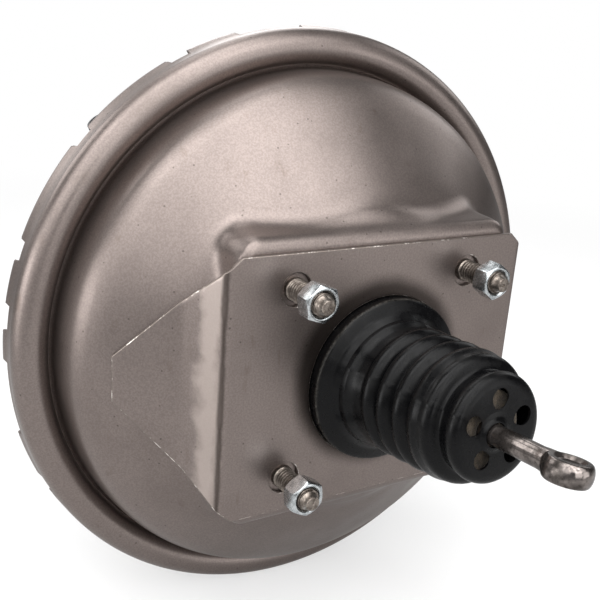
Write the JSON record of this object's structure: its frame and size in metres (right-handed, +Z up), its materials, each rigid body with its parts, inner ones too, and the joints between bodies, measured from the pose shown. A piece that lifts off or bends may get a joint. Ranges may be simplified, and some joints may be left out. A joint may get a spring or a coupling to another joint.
{
  "type": "brake booster",
  "caption": "Single-diaphragm vacuum brake booster with stamped steel shells, winged mounting plate, bellows boot and eyed push rod.",
  "frame": {"origin": "on the booster axis at the outer face of the mounting plate", "axes": "+X right for someone at the pedal, +Y forward along the booster axis to the master cylinder, +Z up as installed"},
  "size_m": [0.286, 0.2995, 0.286],
  "materials": {
    "shell_steel": "satin phosphated",
    "stud_steel": "dull phosphated",
    "zinc_nut": "bright zinc plate",
    "rod_steel": "greased forged steel",
    "spring_steel": "satin",
    "valve_alloy": "machined",
    "boot_rubber": "satin",
    "seal_rubber": "matt",
    "piston_plastic": "moulded",
    "nylon": "moulded",
    "valve_plastic": "moulded",
    "felt": "fibrous"
  },
  "bodies": {
    "housing": {"rear_shell": "shell_steel", "front_shell": "shell_steel", "mounting_plate": "shell_steel", "firewall_stud_1": "stud_steel", "firewall_stud_2": "stud_steel", "firewall_stud_3": "stud_steel", "firewall_stud_4": "stud_steel", "firewall_nut_1": "zinc_nut", "firewall_nut_2": "zinc_nut", "firewall_nut_3": "zinc_nut", "firewall_nut_4": "zinc_nut", "master_cylinder_stud_1": "stud_steel", "master_cylinder_stud_2": "stud_steel", "front_seal": "seal_rubber", "front_seal_retainer": "zinc_nut", "rear_bearing": "nylon", "rear_seal": "seal_rubber", "diaphragm": "seal_rubber", "return_spring": "spring_steel", "dust_boot": "boot_rubber", "vacuum_grommet": "seal_rubber"},
    "power_piston": {"power_piston": "piston_plastic", "reaction_disc": "seal_rubber", "output_rod": "rod_steel", "output_rod_retainer": "spring_steel", "diaphragm_plate": "shell_steel", "diaphragm_lock_ring": "spring_steel", "poppet_retainer": "spring_steel", "poppet_spring": "spring_steel", "valve_return_spring": "spring_steel", "piston_filter_ring": "spring_steel"},
    "air_valve": {"air_valve": "valve_alloy"},
    "poppet": {"poppet": "seal_rubber"},
    "push_rod": {"push_rod": "rod_steel", "silencer_felt": "felt"},
    "check_valve": {"check_valve_body": "valve_plastic", "check_valve_cap": "valve_plastic", "check_valve_spring": "spring_steel"},
    "check_valve_disc": {"check_valve_disc": "seal_rubber"}
  },
  "joints": [
    {"name": "power_piston_stroke", "type": "slide", "parent": "housing", "child": "power_piston", "axis": [0, 1, 0], "range_m": [0, 0.032], "stiffness_N_per_m": 3500, "springref_m": -0.02, "deforming": ["return_spring", "diaphragm", "dust_boot"]},
    {"name": "valve_travel", "type": "slide", "parent": "power_piston", "child": "air_valve", "axis": [0, 1, 0], "range_m": [0, 0.002], "stiffness_N_per_m": 4000, "springref_m": -0.003, "deforming": ["valve_return_spring"]},
    {"name": "poppet_travel", "type": "slide", "parent": "power_piston", "child": "poppet", "axis": [0, 1, 0], "range_m": [0, 0.0008], "deforming": ["poppet_spring"]},
    {"name": "push_rod_tilt", "type": "hinge", "parent": "air_valve", "child": "push_rod", "pos_m": [0, -0.03, 0], "axis": [1, 0, 0], "range_deg": [-3, 9], "stiffness_Nm_per_rad": 1.5},
    {"name": "check_valve_swivel", "type": "hinge", "parent": "housing", "child": "check_valve", "pos_m": [-0.0527, 0.141, 0.0628], "axis": [0, 1, 0], "continuous": true},
    {"name": "check_valve_lift", "type": "slide", "parent": "check_valve", "child": "check_valve_disc", "axis": [0, 1, 0], "range_m": [0, 0.0015], "stiffness_N_per_m": 200, "springref_m": -0.002, "deforming": ["check_valve_spring"]}
  ],
  "couplings": [
    {"joint": "poppet_travel", "follows": "valve_travel", "ratio": 0.4}
  ]
}
